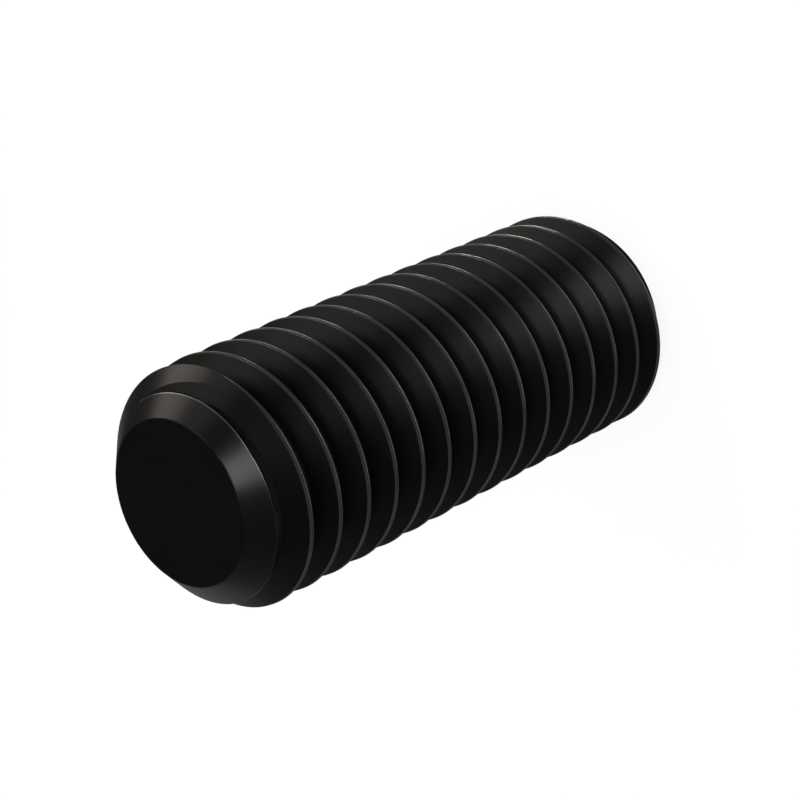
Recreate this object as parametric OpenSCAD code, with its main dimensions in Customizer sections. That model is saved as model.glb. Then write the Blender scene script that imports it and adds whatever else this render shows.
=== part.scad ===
// Flat-point hex socket set screw, M8 x 20, standing on its socket end.
// The origin is the middle of the socket end's face, and +Z runs along the axis to the flat point.

/* [Body] */
// Overall length, from the socket end's face to the flat point
body_len = 20; // [12:1:40]
// Diameter over the thread's crests
crest_d = 7.77; // [7.6:0.01:8]

/* [Thread] */
// Distance from one crest to the next
pitch = 1.25; // [1:0.05:1.5]
// Angle between the two flanks of the groove
flank_angle = 60; // [55:1:65]
// Width of the flat on top of each crest
crest_flat = 0.14; // [0.12:0.01:0.24]
// Width of the flat at the bottom of the groove
root_flat = 0.31; // [0.2:0.01:0.5]
// Height of the lowest whole crest where it passes the +X side
first_crest = 1.04; // [0:0.01:1.25]
// Flat facets that the groove takes for one turn
turn_facets = 36; // [24:4:48]

/* [Flat point] */
// Diameter of the flat point's face
point_d = 5.2; // [4.8:0.05:5.6]
// Angle between the point's chamfer and the screw's axis
point_angle = 45; // [40:1:50]

/* [Socket end] */
// Diameter of the flat rim round the socket, inside its chamfer
rim_d = 6.2; // [5.8:0.05:6.6]
// Angle between the rim's chamfer and the screw's axis
rim_angle = 45; // [40:1:50]

/* [Hex socket] */
// Distance across the socket's flats
socket_flats = 4.04; // [3.9:0.01:4.2]
// Depth of the socket's full hexagon
socket_depth = 5; // [3:0.5:8]
// How much smaller the drilled bottom's radius is than the hexagon's flats
drill_margin = 0.05; // [0.02:0.01:0.2]
// Angle of the drilled bottom's cone, wall to wall
drill_angle = 120; // [90:1:150]
// Angle of the countersink at the mouth, wall to wall
mouth_angle = 120; // [90:1:150]
// How far the countersink reaches past the hexagon's corners
mouth_margin = 0.06; // [0.02:0.01:0.15]

/* [Hidden] */
// Facets of a round surface
$fn = 96;
// How far a cutter reaches past the face that it cuts through
past = 0.5;
// How far the groove's cutter reaches outside the crests
groove_past = 0.08;
// Turn of the revolved blank about its axis, which keeps its seam off the groove's corners
seam_turn = 3.7;

crest_r = crest_d / 2;
point_r = point_d / 2;
rim_r = rim_d / 2;
// How far a flank widens the groove for each millimetre outwards
flank_slope = tan(flank_angle / 2);
groove_depth = (pitch - crest_flat - root_flat) / 2 / flank_slope;
root_r = crest_r - groove_depth;
point_chamfer_len = (crest_r - point_r) / tan(point_angle);
rim_chamfer_len = (crest_r - rim_r) / tan(rim_angle);
// Radius to the hexagon's corners
socket_corner_r = socket_flats / 2 / cos(30);
drill_r = socket_flats / 2 - drill_margin;
drill_tip = drill_r / tan(drill_angle / 2);
mouth_r = socket_corner_r + mouth_margin;
mouth_slope = tan(mouth_angle / 2);
blackened = [0.13, 0.13, 0.135];

// The turned blank: a bar with a chamfer at each end.
module blank() {
    rotate(seam_turn)
        rotate_extrude()
            polygon([
                [0, 0],
                [rim_r, 0],
                [crest_r, rim_chamfer_len],
                [crest_r, body_len - point_chamfer_len],
                [point_r, body_len],
                [0, body_len]
            ]);
}

// The groove's section as [radius, height] points about the middle of its root.
function groove_section() =
    let (
        outer_r = crest_r + groove_past,
        half_root = root_flat / 2,
        half_outer = half_root + (outer_r - root_r) * flank_slope
    )
    [
        [outer_r, half_outer],
        [root_r, half_root],
        [root_r, -half_root],
        [outer_r, -half_outer]
    ];

// The right-hand thread's groove, as one solid that runs out past both ends of the blank.
// Its rings of section points are counted in steps of one facet, from step 0 on the +X side.
module helical_groove() {
    section = groove_section();
    corners = len(section);
    first_step = -turn_facets * 2;
    last_step = ceil(turn_facets * (body_len / pitch + 1));
    rings = last_step - first_step;
    points = [
        for (step = [first_step : last_step])
            let (turn = step / turn_facets, angle = 360 * turn)
            for (corner = section)
                [
                    corner[0] * cos(angle),
                    corner[0] * sin(angle),
                    corner[1] + first_crest + pitch * (turn + 0.5)
                ]
    ];
    walls = [
        for (ring = [0 : rings - 1], side = [0 : corners - 1])
            let (
                here = ring * corners + side,
                beside = ring * corners + (side + 1) % corners,
                over = here + corners,
                across = beside + corners
            )
            for (face = [[here, beside, over], [beside, across, over]])
                face
    ];
    first_cap = [for (side = [corners - 1 : -1 : 0]) side];
    last_cap = [for (side = [0 : corners - 1]) rings * corners + side];
    polyhedron(points = points, faces = concat(walls, [first_cap, last_cap]), convexity = 10);
}

// The hex socket: a countersunk mouth, the full hexagon and the drilled bottom.
module hex_socket() {
    translate([0, 0, -past])
        rotate(30)
            cylinder(h = past + socket_depth, r = socket_corner_r, $fn = 6);
    translate([0, 0, socket_depth])
        cylinder(h = drill_tip, r1 = drill_r, r2 = 0);
    translate([0, 0, -past])
        cylinder(h = mouth_r / mouth_slope + past, r1 = mouth_r + past * mouth_slope, r2 = 0);
}

module set_screw() {
    color(blackened)
        difference() {
            blank();
            helical_groove();
            hex_socket();
        }
}

set_screw();
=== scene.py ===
"""A black flat-point set screw, M8 x 20, standing on its socket end on a white table.

The screw is one piece, made here as a fine mesh with its true helical thread.
"""

import math
from typing import NamedTuple

import bmesh
import bpy
import numpy as np
from bpy.props import FloatProperty, FloatVectorProperty, IntProperty, PointerProperty
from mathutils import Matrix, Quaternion, Vector


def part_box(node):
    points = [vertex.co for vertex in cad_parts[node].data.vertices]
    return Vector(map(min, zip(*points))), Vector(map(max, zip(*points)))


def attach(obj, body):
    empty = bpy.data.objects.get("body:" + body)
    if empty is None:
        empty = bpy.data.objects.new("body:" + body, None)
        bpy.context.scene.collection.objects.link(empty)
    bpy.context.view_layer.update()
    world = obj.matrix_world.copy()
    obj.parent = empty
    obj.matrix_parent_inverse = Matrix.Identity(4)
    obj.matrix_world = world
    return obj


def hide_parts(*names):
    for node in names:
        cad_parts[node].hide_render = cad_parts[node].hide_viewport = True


bl_info = {
    "name": "Set Screw",
    "version": (1, 0, 0),
    "blender": (4, 5, 0),
    "location": "View3D > Sidebar > Set Screw",
    "description": "Makes a flat-point set screw, its black oxide finish and a small studio",
    "category": "Add Mesh",
}

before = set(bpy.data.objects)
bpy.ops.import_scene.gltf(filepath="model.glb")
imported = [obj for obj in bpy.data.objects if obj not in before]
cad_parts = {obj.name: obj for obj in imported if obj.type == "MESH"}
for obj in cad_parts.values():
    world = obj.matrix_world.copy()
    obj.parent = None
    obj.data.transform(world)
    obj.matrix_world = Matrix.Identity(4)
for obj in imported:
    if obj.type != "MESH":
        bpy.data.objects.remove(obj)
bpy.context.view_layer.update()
NODE = "set_screw"
PIECE = "threaded_screw"
MM = 0.001
screw_low, screw_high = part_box(NODE)
CAD_LENGTH = (screw_high.z - screw_low.z) / MM
CAD_DIAMETER = (screw_high.x - screw_low.x) / MM

# Steps in the roundings along a crest.
CORNER_STEPS = 5
LIP_STEPS = 11

# Spare pitches with which the uncut thread reaches past both ends of the screw.
PITCHES_BELOW = 2
PITCHES_SPARE = 3

# Points to each stretch of the thread's section: its start and three spare ones.
PER_STRETCH = 4

# Shares of the end rounding's width that place the middle ring of the bevel.
BEVEL_IN = 0.1
BEVEL_UP = 0.3

# Rings that divide the flat point's face, as shares of its radius.
FACE_RINGS = (0.6, 0.2)

# Degrees that one side of the hexagon takes up.
HEX_SIDE = 60

# Vertices that are closer than this, in metres, become one.
MERGE = 0.0008 * MM

# Faces that turn less than CREASE are shaded as one, up to NEIGHBOURS of them round a vertex.
# OWN_WEIGHT is the extra weight of a corner's own face.
CREASE = math.radians(13.5)
NEIGHBOURS = 8
OWN_WEIGHT = 0.001

# The mesh's value that paints light and shade into the gloss: above 0 it is a painted highlight,
# more film where lips and chamfer edges should glint, below 0 a painted shade, less film in the
# groove's corner, and 0 on plain faces. The material multiplies it by a strength in FinishValues.
GLINT_AND_SHADE_MASK = "painted_glint_and_shade"
PAINTED_LIP_GLINT = 1
PAINTED_EDGE_GLINT = 3.5
PAINTED_ROOT_SHADE = -0.45

# Where a lip leans towards the flat point by more than this, in degrees, it gets the painted
# highlight.
GLINT_FROM = 24

# The patches' noise over which the film and the strength of the painted highlight and shade go
# from least to most.
FILM_RANGE = (0.3, 0.7)
GLINT_AND_SHADE_RANGE = (0.35, 0.65)
PATCH_DETAIL = 4
GRAIN_DETAIL = 3

# The studio's walls: degrees above the horizon, and how much of the backdrop's white is left.
WALL_STOPS = ((1, 1.0), (7, 0.33), (24, 0.14), (45, 0.0))

# The table's sides and the grey of its paint.
TABLE_SIDES = 96
TABLE_PAINT = 0.9

# The camera's clipping distances in metres.
NEAREST_SEEN = 0.001
FARTHEST_SEEN = 10

# Space between the nodes of a material, for whoever opens it.
NODE_STEP = 200


class Lamp(NamedTuple):
    """A soft lamp. Angles are in degrees, lengths in metres and power in watts.

    Its place is seen from the point on the screw's axis that it faces, aim_share of the way up.
    """

    name: str
    azimuth: float
    elevation: float
    width: float
    height: float
    power: float
    tint: tuple = (1, 1, 1)
    distance: float = 0.3
    aim_share: float = 0.5
    spread: float = 180


LAMPS = (
    Lamp("key_lamp", azimuth=24, elevation=50.5, width=0.125, height=0.145, power=0.335),
    Lamp(
        "warm_lamp", azimuth=129, elevation=15, width=0.17, height=0.12, power=0.22,
        tint=(1, 0.89, 0.77),
    ),
    Lamp(
        "side_lamp", azimuth=116, elevation=46, width=0.22, height=0.16, power=0.085,
        tint=(1, 0.98, 0.95),
    ),
    Lamp("glint_lamp", azimuth=98, elevation=6, width=0.075, height=0.06, power=0.14),
    Lamp("front_lamp", azimuth=-14, elevation=18, width=0.2, height=0.08, power=0.25),
    Lamp(
        "near_lamp", azimuth=106, elevation=1.3, width=0.016, height=0.005, power=0.003,
        tint=(1, 0.97, 0.93), distance=0.045, aim_share=0.1, spread=60,
    ),
)


def length(name, text, default):
    """A size in metres, given here in millimetres."""
    return FloatProperty(
        name=name, description=text, default=default * MM, min=0.0, precision=5, unit="LENGTH"
    )


def angle(name, text, default):
    """An angle, given here in degrees."""
    return FloatProperty(
        name=name, description=text, default=math.radians(default), subtype="ANGLE"
    )


def share(name, text, default):
    """A value from 0 to 1."""
    return FloatProperty(
        name=name, description=text, default=default, min=0.0, max=1.0, subtype="FACTOR"
    )


def colour(name, text, default):
    """A linear colour."""
    return FloatVectorProperty(
        name=name, description=text, default=default, size=3, min=0.0, subtype="COLOR"
    )


class ScrewSizes(bpy.types.PropertyGroup):
    """The sizes of the set screw."""

    body_len: length("Length", "From the socket end's face to the flat point", CAD_LENGTH)
    crest_d: length("Crest diameter", "Diameter over the thread's crests", CAD_DIAMETER)
    pitch: length("Pitch", "Distance from one crest to the next", 1.25)
    flank_angle: angle("Flank angle", "Angle between the two flanks of the groove", 60)
    crest_flat: length("Crest flat", "Width of the flat on top of each crest", 0.14)
    root_flat: length("Root flat", "Width of the flat at the bottom of the groove", 0.31)
    corner_round: length(
        "Corner rounding", "Radius of the crest's corner towards the flat point", 0.015
    )
    lip_round: length(
        "Lip rounding", "Radius of the lip on the crest's edge towards the socket", 0.03
    )
    lip_turn: angle(
        "Lip turn", "How far round the lip reaches on its side towards the flat point", 65
    )
    edge_width: length(
        "Edge width", "Width of the rubbed line where a chamfer ends in the groove", 0.022
    )
    edge_fade: length(
        "Edge fade", "Height above the groove's bottom at which the rubbed line ends", 0.3
    )
    first_crest: length(
        "First crest", "Height of the lowest whole crest where it passes the +X side", 1.04
    )
    point_d: length("Point diameter", "Diameter of the flat point's face", 5.2)
    rim_d: length("Rim diameter", "Diameter of the flat rim round the socket", 6.2)
    end_round: length("End rounding", "Width of the small bevel round each end's face", 0.03)
    socket_flats: length("Socket flats", "Distance across the hex socket's flats", 4.04)
    socket_depth: length("Socket depth", "Depth of the socket's full hexagon", 5.0)
    drill_margin: length(
        "Drill margin", "How far the drilled bottom stays inside the hexagon's flats", 0.05
    )
    mouth_margin: length(
        "Mouth margin", "How far the countersink reaches past the hexagon's corners", 0.06
    )
    countersink_angle: angle(
        "Countersink angle", "Angle of the socket's countersink and of its drilled bottom", 120
    )
    columns: IntProperty(
        name="Columns", description="Mesh columns round the screw", default=192, min=24, step=12
    )


class FinishValues(bpy.types.PropertyGroup):
    """The black oxide finish."""

    base: colour("Base", "Colour of the blackened steel", (0.0003, 0.0003, 0.0003))
    worn: colour("Worn", "Colour of the oxide where it is thinnest", (0.0007, 0.0007, 0.0007))
    steel_roughness: share("Steel roughness", "Roughness of the steel under the film", 0.6)
    film: share("Film", "How much of the surface the glossy oxide film covers", 0.195)
    film_change: share("Film change", "How much the film varies from place to place", 0.015)
    film_roughness: share("Film roughness", "Roughness of the oiled oxide film", 0.28)
    film_ior: FloatProperty(
        name="Film IOR", description="Index of refraction of the oxide", default=2.0, min=1.0
    )
    # Painted highlight and shade: how much the mesh's value changes the film, and how much of that
    # strength comes and goes over the patches.
    glint_and_shade_gloss: share("Glint_and_shade", "How much more film shines where the crests are rubbed", 0.4)
    uneven_glint_and_shade: share("Uneven wear", "Share of the burnish that comes and goes", 0.5)
    grain: length("Grain size", "Size of the oxide's fine grain", 0.05)
    grain_height: length("Grain height", "Height of the oxide's grain", 0.0003)
    mottle: length("Mottle size", "Size of the patches in the finish", 1.6)


class StudioValues(bpy.types.PropertyGroup):
    """The camera, the backdrop, the table and the grey card."""

    lens: FloatProperty(
        name="Lens", description="Focal length of the camera", default=101.5, unit="CAMERA"
    )
    distance: length("Distance", "From the camera to the middle of the screw", 72.35)
    azimuth: angle("Azimuth", "Direction of the camera round the screw, from +X", 18.13)
    elevation: angle("Elevation", "Height of the camera above the screw's middle", 44.70)
    roll: angle("Roll", "Turn of the camera about its own line of sight", 115.0)
    backdrop: share("Backdrop", "Brightness of the white backdrop, where 1 is white", 1.0)
    ceiling: share("Ceiling", "Brightness of the studio above the white backdrop", 0.09)
    fill: share("Fill", "Light that the surroundings give to matt surfaces", 0.85)
    table_d: length("Table diameter", "Diameter of the white table", 2400)
    shadow: share("Shadow", "How much of the screw's shadow the table keeps", 0.12)
    card: share("Card", "Brightness of the card that dims one side of the backdrop", 0.22)
    card_azimuth: angle("Card azimuth", "Direction of the card from the screw, from +X", 169)
    card_distance: length("Card distance", "From the screw's axis to the card", 45)
    card_width: length("Card width", "Width of the card", 36)
    card_height: length("Card height", "Height of the card", 24)


def arc(centre_z, centre_r, radius, start, end, steps):
    """Points of a rounded edge in the thread's section, as (height, radius) pairs."""
    turns = np.radians(np.linspace(start, end, steps + 1))
    return [(centre_z + radius * math.cos(t), centre_r + radius * math.sin(t)) for t in turns]


def thread_section(sizes):
    """One pitch of the thread's section from root to root, as (height, radius) pairs.

    Each crest is a narrow flat with a small rounded lip on its edge towards the socket. The second
    list paints light and shade into the gloss: a painted highlight on the side of that lip that
    faces the flat point, and a painted shade in the corner of the groove behind the crest.
    """
    crest_r = sizes.crest_d / 2
    half = sizes.flank_angle / 2
    root_r = crest_r - (sizes.pitch - sizes.crest_flat - sizes.root_flat) / 2 / math.tan(half)
    lean = 90 - math.degrees(half)
    tangent = math.tan(math.radians(lean) / 2)
    corner_z = (sizes.pitch - sizes.crest_flat) / 2
    lip_r, small = sizes.lip_round, sizes.corner_round
    lip_end = 90 - math.degrees(sizes.lip_turn)
    lip = arc(corner_z + lip_r * tangent, crest_r - lip_r, lip_r, 90 + lean, lip_end, LIP_STEPS)
    flat_r = lip[-1][1]
    front_z = corner_z - (crest_r - flat_r) * math.tan(half)
    front = arc(front_z + small * tangent, flat_r - small, small, 90 + lean, 90, CORNER_STEPS)
    root = [(sizes.root_flat / 2, root_r)]
    falling = [(sizes.pitch - z, r) for z, r in reversed(root + front)]
    facing = np.linspace(-lean, math.degrees(sizes.lip_turn), LIP_STEPS + 1)
    # Painted highlight: more film on the part of the lip that leans towards the flat point.
    lip_glints = np.where(facing > GLINT_FROM, PAINTED_LIP_GLINT, 0)
    lip_glints[-1] = 0
    # The first value is a painted shade: less film in the groove's corner behind the crest.
    glinting = [PAINTED_ROOT_SHADE] + list(lip_glints) + [0] * len(falling)
    return np.array(root + lip + falling), np.array(glinting, float)


def chamfer_radius(height, sizes):
    """Radius of the two 45 degree end chamfers at a height, whichever is the smaller."""
    at_rim = sizes.rim_d / 2 + height
    at_point = sizes.point_d / 2 + sizes.body_len - height
    return np.minimum(at_rim, at_point)


def uncut_thread(sizes):
    """Heights, radii and painted highlight and shade of a thread without ends, one row for each
    column of the mesh.

    A row climbs the thread's section from below the socket end to above the flat point. Each row
    starts a little higher than the one before it, so that a whole turn climbs one pitch. The last
    value is the number of points in one pitch.
    """
    section, glinting = thread_section(sizes)
    pitches = math.ceil(sizes.body_len / sizes.pitch) + PITCHES_SPARE
    lifts = [section[:, 0] + sizes.pitch * (place - PITCHES_BELOW) for place in range(pitches)]
    start = sizes.first_crest - sizes.pitch / 2
    turned = np.arange(sizes.columns) / sizes.columns
    heights = start + np.concatenate(lifts)[None, :] + sizes.pitch * turned[:, None]
    radii = np.broadcast_to(np.tile(section[:, 1], pitches), heights.shape)
    return heights, radii, np.tile(glinting, pitches), len(section)


def thread_grid(sizes):
    """The thread cut by both end chamfers, in rows up the screw's side.

    Each stretch of the section gets three spare points, which sit where it meets an end's chamfer
    and just beside that, so that the thread's run-out has a crisp edge. Elsewhere they lie on the
    stretch's end. The edge where a chamfer drops into the groove gets a painted highlight, more
    film that fades out above the groove's bottom.
    """
    heights, radii, glinting, pitch_points = uncut_thread(sizes)
    over = radii - chamfer_radius(heights, sizes)
    here, after = over[:, :-1], over[:, 1:]
    meets = here * after < 0
    gap = np.where(meets, here - after, 1.0)
    nearest_end = np.where(np.abs(here) <= np.abs(after), 0.0, 1.0)
    along = np.where(meets, here / gap, nearest_end)
    rise, growth = np.diff(heights, axis=1), np.diff(radii, axis=1)
    beside = np.where(meets, sizes.edge_width / np.hypot(rise, growth), 0.0)

    rows, count = heights.shape
    shape = (rows, PER_STRETCH * (count - 1) + 1)
    all_heights, all_radii, all_glint_and_shade = np.empty(shape), np.empty(shape), np.empty(shape)
    all_heights[:, ::PER_STRETCH] = heights
    all_radii[:, ::PER_STRETCH] = radii
    all_glint_and_shade[:, ::PER_STRETCH] = glinting
    # The middle one of the three spare points lies on the edge, and the others lie beside it.
    for place, side in ((1, -1), (2, 0), (3, 1)):
        at = np.clip(along + side * beside, 0, 1)
        all_heights[:, place::PER_STRETCH] = heights[:, :-1] + at * rise
        all_radii[:, place::PER_STRETCH] = radii[:, :-1] + at * growth
        all_glint_and_shade[:, place::PER_STRETCH] = np.where(at < 0.5, glinting[:-1], glinting[1:])

    all_heights = np.clip(all_heights, sizes.end_round, sizes.body_len - sizes.end_round)
    limits = chamfer_radius(all_heights, sizes)
    all_glint_and_shade[all_radii > limits] = 0
    near_point = heights[:, :-1] > sizes.body_len / 2
    drops = meets & ((here < 0) == near_point)
    # Painted highlight: more film along the edge where a chamfer drops into the groove, fading out
    # above the groove's bottom.
    edge_points = slice(2, None, PER_STRETCH)
    above_root = (all_radii[:, edge_points] - radii.min()) / sizes.edge_fade
    edge_glint = PAINTED_EDGE_GLINT * np.clip(1 - above_root, 0, 1)
    all_glint_and_shade[:, edge_points][drops] = edge_glint[drops]
    return all_heights, np.minimum(all_radii, limits), all_glint_and_shade, PER_STRETCH * pitch_points


def side_faces(rows, count, pitch_points):
    """Four-sided faces between neighbouring rows. The last row meets the first, one pitch up."""
    faces = []
    for row in range(rows):
        wraps = row == rows - 1
        beside = 0 if wraps else row + 1
        shift = pitch_points if wraps else 0
        for i in range(count - 1 - shift):
            a, b = row * count + i, beside * count + i + shift
            faces.append((a, b, b + 1, a + 1))
    return faces


def ring(mesh, radii, heights, columns):
    """A closed ring of vertices. Radius and height may each differ from column to column."""
    radii = np.broadcast_to(radii, (columns,))
    heights = np.broadcast_to(heights, (columns,))
    turn = 2 * math.pi / columns
    return [
        mesh.verts.new((r * math.cos(turn * i), r * math.sin(turn * i), z))
        for i, (r, z) in enumerate(zip(radii, heights))
    ]


def band(mesh, inner, outer):
    """Faces between two rings."""
    for i in range(len(inner)):
        j = (i + 1) % len(inner)
        mesh.faces.new((inner[i], outer[i], outer[j], inner[j]))


def fan(mesh, ring_vertices, height):
    """Faces from a ring to one vertex on the axis."""
    middle = mesh.verts.new((0, 0, height))
    for i, vertex in enumerate(ring_vertices):
        mesh.faces.new((vertex, ring_vertices[(i + 1) % len(ring_vertices)], middle))


def add_end(mesh, rings, middle, columns):
    """An end of the screw: bands through rings of (radius, height), then a fan to its middle."""
    edges = [ring(mesh, radii, heights, columns) for radii, heights in rings]
    for outer, inner in zip(edges, edges[1:]):
        band(mesh, outer, inner)
    fan(mesh, edges[-1], middle)


def end_bevel(edge_r, face, inwards, width):
    """Rings of the small bevel round an end's face. Inwards is 1 up the screw and -1 down it."""
    return [
        (edge_r + width, face + inwards * width),
        (edge_r - width * BEVEL_IN, face + inwards * width * BEVEL_UP),
        (edge_r - width, face),
    ]


def add_point_end(mesh, sizes):
    """The small bevel round the flat point and its face."""
    point_r = sizes.point_d / 2
    rings = end_bevel(point_r, sizes.body_len, -1, sizes.end_round)
    rings += [(point_r * part, sizes.body_len) for part in FACE_RINGS]
    add_end(mesh, rings, sizes.body_len, sizes.columns)


def add_socket_end(mesh, sizes):
    """The rim's bevel and face, the countersink, the hexagon's walls and the drilled bottom.

    The hexagon has a flat on the +X side.
    """
    flat_r = sizes.socket_flats / 2
    slope = math.tan(sizes.countersink_angle / 2)
    turns = np.arange(sizes.columns) * 360 / sizes.columns
    off_flat = np.radians((turns + HEX_SIDE / 2) % HEX_SIDE - HEX_SIDE / 2)
    wall = flat_r / np.cos(off_flat)
    mouth_r = flat_r / math.cos(math.radians(HEX_SIDE / 2)) + sizes.mouth_margin
    drill_r = flat_r - sizes.drill_margin
    rings = end_bevel(sizes.rim_d / 2, 0.0, 1, sizes.end_round)
    rings += [
        (mouth_r, 0.0),
        (wall, (mouth_r - wall) / slope),
        (wall, sizes.socket_depth),
        (drill_r, sizes.socket_depth),
    ]
    add_end(mesh, rings, sizes.socket_depth + drill_r / slope, sizes.columns)


def screw_mesh(sizes):
    """The whole screw as one closed mesh."""
    heights, radii, glinting, pitch_points = thread_grid(sizes)
    rows, count = heights.shape
    turns = np.arange(rows)[:, None] * 2 * math.pi / rows
    points = np.stack([radii * np.cos(turns), radii * np.sin(turns), heights], axis=-1)
    side = bpy.data.meshes.new(PIECE)
    side.from_pydata(points.reshape(-1, 3).tolist(), [], side_faces(rows, count, pitch_points))
    # The painted highlight and shade go on the mesh as a value that the material reads.
    side.attributes.new(GLINT_AND_SHADE_MASK, "FLOAT", "POINT").data.foreach_set("value", glinting.ravel())
    mesh = bmesh.new()
    mesh.from_mesh(side)
    add_point_end(mesh, sizes)
    add_socket_end(mesh, sizes)
    bmesh.ops.remove_doubles(mesh, verts=mesh.verts, dist=MERGE)
    bmesh.ops.dissolve_degenerate(mesh, edges=mesh.edges, dist=MERGE)
    loose = [vertex for vertex in mesh.verts if not vertex.link_faces]
    bmesh.ops.delete(mesh, geom=loose, context="VERTS")
    bmesh.ops.recalc_face_normals(mesh, faces=mesh.faces)
    open_edges = [edge for edge in mesh.edges if len(edge.link_faces) != 2]
    mesh.to_mesh(side)
    mesh.free()
    if open_edges:
        raise RuntimeError(f"the screw's mesh has {len(open_edges)} open or doubled edges")
    return side


def shade_evenly(mesh):
    """Smooth shading in which broad faces keep their own direction and small roundings bend.

    Each corner takes the mean of the faces round it that turn less than CREASE from its own face,
    weighted by their areas. Its own face gets OWN_WEIGHT more, so that the mean has a direction
    even where many faces meet, as they do at the tip of the drilled cone.
    """
    mesh.shade_smooth()
    face_count, corner_count = len(mesh.polygons), len(mesh.loops)
    normals = np.empty((face_count, 3))
    areas = np.empty(face_count)
    sides = np.empty(face_count, int)
    vertex = np.empty(corner_count, int)
    mesh.polygons.foreach_get("normal", normals.ravel())
    mesh.polygons.foreach_get("area", areas)
    mesh.polygons.foreach_get("loop_total", sides)
    mesh.loops.foreach_get("vertex_index", vertex)
    face = np.repeat(np.arange(face_count), sides)
    order = np.argsort(vertex, kind="stable")
    start = np.searchsorted(vertex[order], np.arange(len(mesh.vertices) + 1))
    total = np.zeros((corner_count, 3))
    for place in range(NEIGHBOURS):
        at = start[vertex] + place
        there = at < start[vertex + 1]
        other = face[order[np.where(there, at, 0)]]
        close = (normals[face] * normals[other]).sum(axis=1) > math.cos(CREASE)
        weight = np.where(there & close, areas[other], 0)
        total += normals[other] * weight[:, None]
    total += normals[face] * areas[face][:, None] * OWN_WEIGHT
    total /= np.linalg.norm(total, axis=1, keepdims=True)
    mesh.normals_split_custom_set(total.tolist())


class NodeSheet:
    """A short way to add nodes and links to a node tree."""

    def __init__(self, owner):
        """Clears the nodes of a material or a world."""
        owner.use_nodes = True
        self.tree = owner.node_tree
        self.tree.nodes.clear()
        self.across = 0

    def add(self, kind, label="", values=None, **settings):
        """A new node to the right of the last one. Values are set on its sockets by name."""
        node = self.tree.nodes.new(kind)
        node.label = label
        node.location = (self.across, 0)
        self.across += NODE_STEP
        for name, setting in settings.items():
            setattr(node, name, setting)
        for name, value in (values or {}).items():
            node.inputs[name].default_value = value
        return node

    def link(self, start, end):
        """A link from an output to an input."""
        self.tree.links.new(start, end)


def vary(sheet, label, source, spread, middle, change):
    """A value that swings about its middle as the source goes over its spread."""
    low, high = spread
    swing = {
        "From Min": low,
        "From Max": high,
        "To Min": middle - change,
        "To Max": middle + change,
    }
    node = sheet.add("ShaderNodeMapRange", label, swing)
    sheet.link(source, node.inputs["Value"])
    return node.outputs["Result"]


def noise(sheet, label, place, size, detail):
    """Noise with features of one size, fixed to the object."""
    values = {"Scale": 1 / size, "Detail": detail}
    node = sheet.add("ShaderNodeTexNoise", label, values)
    sheet.link(place, node.inputs["Vector"])
    return node.outputs["Fac"]


def black_oxide_material(finish):
    """Oiled black oxide on steel: nearly black, satin, with a fine grain and faint patches.

    The gloss is a thin film over the steel. The mesh paints light and shade into it: more film
    where lips and chamfer edges should glint, a painted highlight, and less in the groove's
    corner, a painted shade.
    """
    material = bpy.data.materials.new("black_oxide")
    sheet = NodeSheet(material)
    place = sheet.add("ShaderNodeTexCoord").outputs["Object"]
    patches = noise(sheet, "patches in the oxide", place, finish.mottle, PATCH_DETAIL)
    grain = noise(sheet, "oxide grain", place, finish.grain, GRAIN_DETAIL)

    colours = {"A": (*finish.base, 1), "B": (*finish.worn, 1)}
    tint = sheet.add("ShaderNodeMix", "oxide colour", colours, data_type="RGBA")
    sheet.link(patches, tint.inputs["Factor"])

    film = vary(sheet, "oxide film", patches, FILM_RANGE, finish.film, finish.film_change)
    # Painted highlight and shade: the mesh's value, times a strength that varies over the patches,
    # is added to the film.
    glint_and_shade_change = finish.glint_and_shade_gloss * finish.uneven_glint_and_shade
    glint_and_shade_strength = vary(sheet, "glint_and_shade_strength", patches, GLINT_AND_SHADE_RANGE, finish.glint_and_shade_gloss, glint_and_shade_change)
    glinting = sheet.add("ShaderNodeAttribute", "rubbed crests", attribute_name=GLINT_AND_SHADE_MASK)
    shine = sheet.add(
        "ShaderNodeMath", "film and burnish", operation="MULTIPLY_ADD", use_clamp=True
    )
    for socket, source in zip(shine.inputs, (glinting.outputs["Fac"], glint_and_shade_strength, film)):
        sheet.link(source, socket)

    bump = sheet.add("ShaderNodeBump", "grain relief", {"Distance": finish.grain_height})
    sheet.link(grain, bump.inputs["Height"])

    surfaces = {
        "Specular IOR Level": 0.0,
        "Roughness": finish.steel_roughness,
        "Coat Roughness": finish.film_roughness,
        "Coat IOR": finish.film_ior,
    }
    steel = sheet.add("ShaderNodeBsdfPrincipled", "steel under a thin film", surfaces)
    sheet.link(tint.outputs["Result"], steel.inputs["Base Color"])
    sheet.link(shine.outputs["Value"], steel.inputs["Coat Weight"])
    for normal in ("Normal", "Coat Normal"):
        sheet.link(bump.outputs["Normal"], steel.inputs[normal])
    output = sheet.add("ShaderNodeOutputMaterial")
    sheet.link(steel.outputs["BSDF"], output.inputs["Surface"])
    return material


class SCREW_OT_body(bpy.types.Operator):
    """Makes the threaded screw with its flat point and hex socket"""

    bl_idname = "screw.body"
    bl_label = "Set screw"

    def execute(self, context):
        scene = context.scene
        mesh = screw_mesh(scene.screw_sizes)
        piece = bpy.data.objects.new(PIECE, mesh)
        scene.collection.objects.link(piece)
        shade_evenly(mesh)
        mesh.materials.append(black_oxide_material(scene.screw_finish))
        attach(piece, "root")
        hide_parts(NODE)
        return {"FINISHED"}


def backdrop_rays(sheet):
    """1 for the rays that show the backdrop: those of the camera, of gloss and of glass."""
    path = sheet.add("ShaderNodeLightPath")
    total = path.outputs["Is Camera Ray"]
    for name in ("Is Glossy Ray", "Is Transmission Ray"):
        both = sheet.add("ShaderNodeMath", operation="ADD", use_clamp=True)
        sheet.link(total, both.inputs[0])
        sheet.link(path.outputs[name], both.inputs[1])
        total = both.outputs["Value"]
    return total


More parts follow.
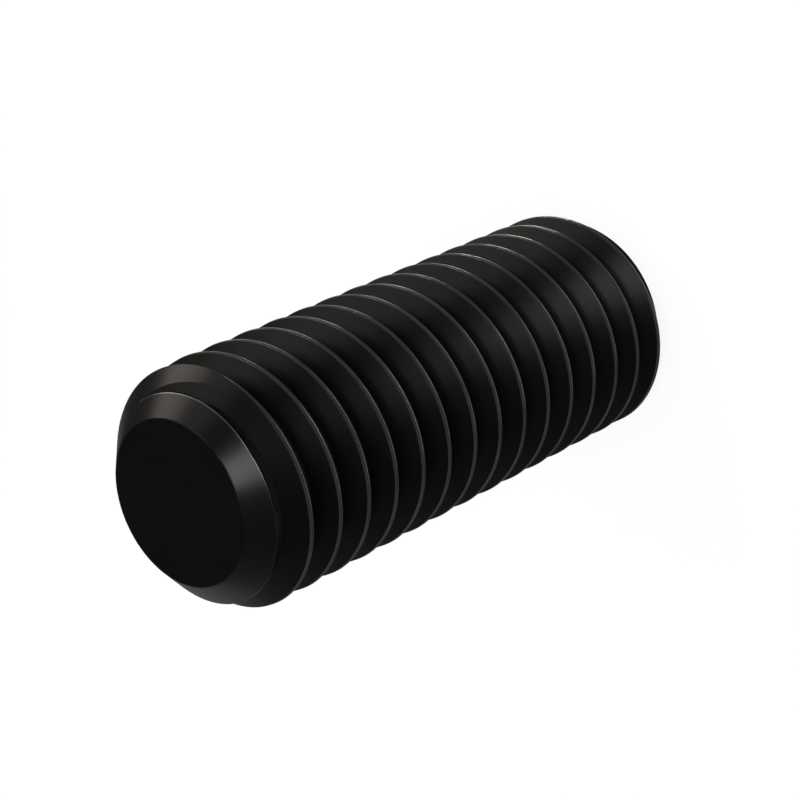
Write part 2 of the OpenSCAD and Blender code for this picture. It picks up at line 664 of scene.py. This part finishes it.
def make_world(studio):
    """A white backdrop low down, a dim studio above it, and a plain light on matt surfaces."""
    world = bpy.data.worlds.new("white_studio")
    bpy.context.scene.world = world
    sheet = NodeSheet(world)
    sky = sheet.add("ShaderNodeTexCoord")
    split = sheet.add("ShaderNodeSeparateXYZ")
    sheet.link(sky.outputs["Generated"], split.inputs["Vector"])
    walls = sheet.add("ShaderNodeValToRGB", "backdrop to ceiling")
    stops = walls.color_ramp.elements
    # The new stops move to their own places below.
    while len(stops) < len(WALL_STOPS):
        stops.new(0.5)
    for stop, (height, white) in zip(stops, WALL_STOPS):
        level = studio.ceiling + (studio.backdrop - studio.ceiling) * white
        stop.position = math.sin(math.radians(height))
        stop.color = (level, level, level, 1)
    sheet.link(split.outputs["Z"], walls.inputs["Fac"])
    fill = {"A": (studio.fill, studio.fill, studio.fill, 1)}
    strength = sheet.add("ShaderNodeMix", "fill or backdrop", fill, data_type="RGBA")
    sheet.link(walls.outputs["Color"], strength.inputs["B"])
    sheet.link(backdrop_rays(sheet), strength.inputs["Factor"])
    light = sheet.add("ShaderNodeBackground")
    sheet.link(strength.outputs["Result"], light.inputs["Color"])
    output = sheet.add("ShaderNodeOutputWorld")
    sheet.link(light.outputs["Background"], output.inputs["Surface"])


def table_material(studio):
    """A white table that shows as the backdrop does, and keeps some of the screw's shadow."""
    material = bpy.data.materials.new("white_table")
    sheet = NodeSheet(material)
    white = sheet.add("ShaderNodeEmission", "white", {"Strength": studio.backdrop})
    paint_colour = (TABLE_PAINT, TABLE_PAINT, TABLE_PAINT, 1)
    paint = sheet.add("ShaderNodeBsdfDiffuse", "paint", {"Color": paint_colour})
    lit_share = sheet.add("ShaderNodeMath", "share without shadow", operation="MULTIPLY")
    lit_share.inputs[1].default_value = 1 - studio.shadow
    sheet.link(backdrop_rays(sheet), lit_share.inputs[0])
    mixed = sheet.add("ShaderNodeMixShader")
    sheet.link(lit_share.outputs["Value"], mixed.inputs["Fac"])
    sheet.link(paint.outputs["BSDF"], mixed.inputs[1])
    sheet.link(white.outputs["Emission"], mixed.inputs[2])
    output = sheet.add("ShaderNodeOutputMaterial")
    sheet.link(mixed.outputs["Shader"], output.inputs["Surface"])
    return material


def card_material(studio):
    """A plain grey that neither light nor shadow changes."""
    material = bpy.data.materials.new("grey_card")
    sheet = NodeSheet(material)
    grey = sheet.add("ShaderNodeEmission", "grey", {"Strength": studio.card})
    output = sheet.add("ShaderNodeOutputMaterial")
    sheet.link(grey.outputs["Emission"], output.inputs["Surface"])
    return material


def direction(azimuth, elevation):
    """A unit vector from angles in radians: azimuth from +X, elevation above the table."""
    across = math.cos(elevation)
    return Vector((math.cos(azimuth) * across, math.sin(azimuth) * across, math.sin(elevation)))


def add_table(studio):
    """The round white table that the screw stands on."""
    disc = bmesh.new()
    bmesh.ops.create_circle(
        disc, cap_ends=True, radius=studio.table_d / 2, segments=TABLE_SIDES
    )
    mesh = bpy.data.meshes.new("table")
    disc.to_mesh(mesh)
    disc.free()
    mesh.materials.append(table_material(studio))
    table = bpy.data.objects.new("table", mesh)
    bpy.context.scene.collection.objects.link(table)


def add_card(studio):
    """A grey card beside the screw, out of the picture, which dims the backdrop on its side."""
    half, top = studio.card_width / 2, studio.card_height
    corners = [(0, -half, 0), (0, half, 0), (0, half, top), (0, -half, top)]
    mesh = bpy.data.meshes.new("grey_card")
    mesh.from_pydata(corners, [], [(0, 1, 2, 3)])
    mesh.materials.append(card_material(studio))
    card = bpy.data.objects.new("grey_card", mesh)
    card.location = direction(studio.card_azimuth, 0) * studio.card_distance
    card.rotation_euler.z = studio.card_azimuth
    card.visible_camera = False
    card.visible_shadow = False
    bpy.context.scene.collection.objects.link(card)


def add_lamp(lamp, screw_length):
    """A soft lamp that faces the screw's axis and that the camera doesn't see."""
    light = bpy.data.lights.new(lamp.name, "AREA")
    light.shape = "RECTANGLE"
    light.size = lamp.width
    light.size_y = lamp.height
    light.energy = lamp.power
    light.color = lamp.tint
    light.spread = math.radians(lamp.spread)
    shown = bpy.data.objects.new(lamp.name, light)
    aim = Vector((0, 0, screw_length * lamp.aim_share))
    towards = direction(math.radians(lamp.azimuth), math.radians(lamp.elevation))
    shown.location = aim + towards * lamp.distance
    shown.rotation_mode = "QUATERNION"
    shown.rotation_quaternion = (-towards).to_track_quat("-Z", "Y")
    shown.visible_camera = False
    bpy.context.scene.collection.objects.link(shown)


def add_camera(studio, screw_length):
    """The camera, which faces the middle of the screw."""
    camera_data = bpy.data.cameras.new("camera")
    camera_data.lens = studio.lens
    camera_data.clip_start = NEAREST_SEEN
    camera_data.clip_end = FARTHEST_SEEN
    camera = bpy.data.objects.new("camera", camera_data)
    towards = direction(studio.azimuth, studio.elevation)
    camera.location = Vector((0, 0, screw_length / 2)) + towards * studio.distance
    camera.rotation_mode = "QUATERNION"
    roll = Quaternion((0, 0, 1), -studio.roll)
    camera.rotation_quaternion = (-towards).to_track_quat("-Z", "Y") @ roll
    bpy.context.scene.collection.objects.link(camera)
    bpy.context.scene.camera = camera


class SCREW_OT_studio(bpy.types.Operator):
    """Makes the white table, the lamps, the grey card and the camera"""

    bl_idname = "screw.studio"
    bl_label = "Studio"

    def execute(self, context):
        scene = context.scene
        studio = scene.screw_studio
        screw_length = scene.screw_sizes.body_len
        make_world(studio)
        add_table(studio)
        for lamp in LAMPS:
            add_lamp(lamp, screw_length)
        add_card(studio)
        add_camera(studio, screw_length)
        scene.view_settings.view_transform = "Standard"
        return {"FINISHED"}


class SCREW_PT_panel(bpy.types.Panel):
    """Lists the operators and the values of the screw, its finish and the studio"""

    bl_label = "Set Screw"
    bl_idname = "SCREW_PT_panel"
    bl_space_type = "VIEW_3D"
    bl_region_type = "UI"
    bl_category = "Set Screw"

    def draw(self, context):
        for operator in OPERATORS:
            self.layout.operator(operator.bl_idname)
        for name, group in GROUPS.items():
            box = self.layout.box()
            for value in group.__annotations__:
                box.prop(getattr(context.scene, name), value)


GROUPS = {
    "screw_sizes": ScrewSizes,
    "screw_finish": FinishValues,
    "screw_studio": StudioValues,
}
OPERATORS = (SCREW_OT_body, SCREW_OT_studio)


def register():
    for name, group in GROUPS.items():
        bpy.utils.register_class(group)
        setattr(bpy.types.Scene, name, PointerProperty(type=group))
    for part in (*OPERATORS, SCREW_PT_panel):
        bpy.utils.register_class(part)


def unregister():
    for part in (SCREW_PT_panel, *reversed(OPERATORS)):
        bpy.utils.unregister_class(part)
    for name, group in reversed(GROUPS.items()):
        delattr(bpy.types.Scene, name)
        bpy.utils.unregister_class(group)


def main():
    register()
    bpy.ops.screw.body()
    bpy.ops.screw.studio()


if __name__ == "__main__":
    main()
